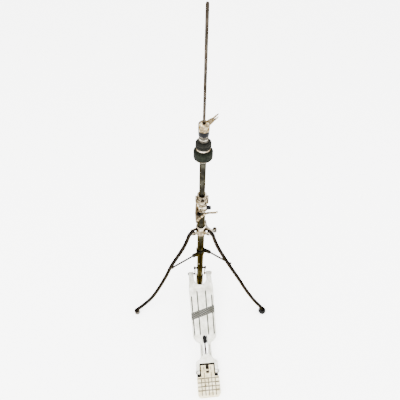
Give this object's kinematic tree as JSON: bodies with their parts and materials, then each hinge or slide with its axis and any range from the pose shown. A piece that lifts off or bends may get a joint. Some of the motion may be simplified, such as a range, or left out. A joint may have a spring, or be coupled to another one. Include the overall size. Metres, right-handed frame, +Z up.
{
  "type": "hi-hat stand",
  "caption": "Vintage hi-hat stand without cymbals: pull rod and clutch, sliding upper tube, folding tripod, cast pedal with heel plate and side links",
  "frame": {"origin": "on the floor at the column's axis, the centre of the flat underside of its rubber foot", "axes": "+Z up along the column, -Y from the column towards the pedal's heel plate, +X to the player's right"},
  "size_m": [0.4821, 0.6342, 0.977],
  "materials": {
    "dark_chrome_tube": "aged, tarnished nickel-chrome plate on tube, dark brown-grey",
    "dark_chrome_strip": "aged plated pressed steel legs and straps, near black",
    "bright_chrome": "bright polished chrome plate",
    "cast_aluminium": "bright cast aluminium, tumbled, cream in the lows",
    "bare_steel": "worn steel with brown oxide",
    "black_rubber": "black moulded rubber, dusty",
    "grey_felt": "pressed dark-grey wool felt",
    "black_nylon": "black moulded nylon"
  },
  "bodies": {
    "root": {"lower_tube": "dark_chrome_tube", "base_socket": "dark_chrome_tube", "base_rubber": "black_rubber", "spring_seat": "bare_steel", "tube_bush": "black_nylon", "clamp_body": "bright_chrome", "leg_spider": "bright_chrome", "leg_pin_left": "bare_steel", "leg_pin_right": "bare_steel", "leg_pin_rear": "bare_steel", "spring": "bare_steel", "heel_plate": "cast_aluminium", "heel_pin": "bare_steel", "radius_rod": "bare_steel", "heel_base": "black_rubber"},
    "upper_tube": {"upper_tube": "dark_chrome_tube", "memory_collar": "bright_chrome", "memory_bolt": "bare_steel", "seat_ring": "dark_chrome_tube", "seat_washer": "bright_chrome", "seat_felt": "grey_felt", "rod_bush": "black_nylon"},
    "clutch": {"clutch_sleeve": "bare_steel", "clutch_cup": "bright_chrome", "clutch_felt_lower": "grey_felt", "clutch_felt_upper": "grey_felt", "clutch_band": "black_nylon", "clutch_body": "bright_chrome"},
    "clutch_wing": {"clutch_wing_screw": "bright_chrome"},
    "lock_nut_low": {"lock_nut_lower": "bright_chrome"},
    "lock_nut_up": {"lock_nut_upper": "bright_chrome"},
    "clamp_knob": {"clamp_knob": "black_nylon"},
    "clamp_lever": {"clamp_lever": "bright_chrome"},
    "brace_collar": {"brace_collar": "dark_chrome_tube", "brace_pin_left": "bare_steel", "brace_pin_right": "bare_steel", "brace_pin_rear": "bare_steel"},
    "pull_rod": {"pull_rod": "bare_steel", "rod_coupler": "bare_steel", "lower_rod": "bare_steel", "yoke_block": "bare_steel", "cross_bar": "bare_steel"},
    "link_left": {"link_left": "bare_steel"},
    "link_right": {"link_right": "bare_steel"},
    "footboard": {"footboard": "cast_aluminium", "toe_pin_left": "bare_steel", "toe_pin_right": "bare_steel"},
    "leg_left": {"leg_left": "dark_chrome_strip", "foot_left": "black_rubber"},
    "brace_left": {"brace_left": "dark_chrome_strip", "brace_rivet_left": "bare_steel"},
    "leg_right": {"leg_right": "dark_chrome_strip", "foot_right": "black_rubber"},
    "brace_right": {"brace_right": "dark_chrome_strip", "brace_rivet_right": "bare_steel"},
    "leg_rear": {"leg_rear": "dark_chrome_strip", "foot_rear": "black_rubber"},
    "brace_rear": {"brace_rear": "dark_chrome_strip", "brace_rivet_rear": "bare_steel"}
  },
  "joints": [
    {"name": "footboard_press", "type": "hinge", "parent": "root", "child": "footboard", "pos_m": [0, -0.314, 0.0155], "axis": [-1, 0, 0], "range_deg": [0, 8.5], "stiffness_Nm_per_rad": 15, "springref_deg": -11.46},
    {"name": "pull_rod_drop", "type": "slide", "parent": "root", "child": "pull_rod", "axis": [0, 0, -1], "range_m": [0, 0.0478], "deforming": ["spring"]},
    {"name": "link_left_swing", "type": "hinge", "parent": "pull_rod", "child": "link_left", "pos_m": [-0.018, 0, 0.13], "axis": [1, 0, 0], "range_deg": [0, 8.9]},
    {"name": "link_right_swing", "type": "hinge", "parent": "pull_rod", "child": "link_right", "pos_m": [0.018, 0, 0.13], "axis": [1, 0, 0], "range_deg": [0, 8.9]},
    {"name": "height_slide", "type": "slide", "parent": "root", "child": "upper_tube", "axis": [0, 0, 1], "range_m": [0, 0.08]},
    {"name": "clutch_slide", "type": "slide", "parent": "upper_tube", "child": "clutch", "axis": [0, 0, 1], "range_m": [0, 0.08]},
    {"name": "clutch_wing_turn", "type": "hinge", "parent": "clutch", "child": "clutch_wing", "pos_m": [0.01257, 0.01288, 0.75], "axis": [0.6984, 0.7157, 0], "continuous": true},
    {"name": "lock_nut_lower_turn", "type": "hinge", "parent": "clutch", "child": "lock_nut_low", "pos_m": [0, 0, 0.71445], "axis": [0, 0, 1], "continuous": true},
    {"name": "lock_nut_upper_turn", "type": "hinge", "parent": "clutch", "child": "lock_nut_up", "pos_m": [0, 0, 0.72385], "axis": [0, 0, 1], "continuous": true},
    {"name": "clamp_knob_turn", "type": "hinge", "parent": "root", "child": "clamp_knob", "pos_m": [0.0116, -0.016, 0.4975], "axis": [1, 0, 0], "continuous": true},
    {"name": "clamp_lever_turn", "type": "hinge", "parent": "root", "child": "clamp_lever", "pos_m": [-0.013, -0.025, 0.458], "axis": [0, 1, 0], "range_deg": [-50, 70]},
    {"name": "tripod_fold", "type": "slide", "parent": "root", "child": "brace_collar", "axis": [0, 0, 1], "range_m": [0, 0.03959]},
    {"name": "leg_left_fold", "type": "hinge", "parent": "root", "child": "leg_left", "pos_m": [-0.02457, -0.00993, 0.3755], "axis": [0.3746, -0.9272, 0], "range_deg": [0, 20.3]},
    {"name": "leg_right_fold", "type": "hinge", "parent": "root", "child": "leg_right", "pos_m": [0.02295, -0.01325, 0.3755], "axis": [0.5, 0.866, 0], "range_deg": [0, 20.3]},
    {"name": "leg_rear_fold", "type": "hinge", "parent": "root", "child": "leg_rear", "pos_m": [0.00906, 0.0249, 0.3755], "axis": [-0.9397, 0.342, 0], "range_deg": [0, 20.3]},
    {"name": "brace_left_fold", "type": "hinge", "parent": "brace_collar", "child": "brace_left", "pos_m": [-0.0255, -0.0103, 0.251], "axis": [0.3746, -0.9272, 0], "range_deg": [0, 59.85]},
    {"name": "brace_right_fold", "type": "hinge", "parent": "brace_collar", "child": "brace_right", "pos_m": [0.02382, -0.01375, 0.251], "axis": [0.5, 0.866, 0], "range_deg": [0, 59.85]},
    {"name": "brace_rear_fold", "type": "hinge", "parent": "brace_collar", "child": "brace_rear", "pos_m": [0.00941, 0.02584, 0.251], "axis": [-0.9397, 0.342, 0], "range_deg": [0, 59.85]}
  ],
  "couplings": [
    {"joint": "pull_rod_drop", "follows": "footboard_press", "m_per_rad": 0.3215},
    {"joint": "link_left_swing", "follows": "footboard_press", "ratio": 1.0261},
    {"joint": "link_right_swing", "follows": "footboard_press", "ratio": 1.0261},
    {"joint": "leg_left_fold", "follows": "tripod_fold", "rad_per_m": 8.817},
    {"joint": "leg_right_fold", "follows": "tripod_fold", "rad_per_m": 8.817},
    {"joint": "leg_rear_fold", "follows": "tripod_fold", "rad_per_m": 8.817},
    {"joint": "brace_left_fold", "follows": "tripod_fold", "rad_per_m": 26.163},
    {"joint": "brace_right_fold", "follows": "tripod_fold", "rad_per_m": 26.163},
    {"joint": "brace_rear_fold", "follows": "tripod_fold", "rad_per_m": 26.163}
  ]
}
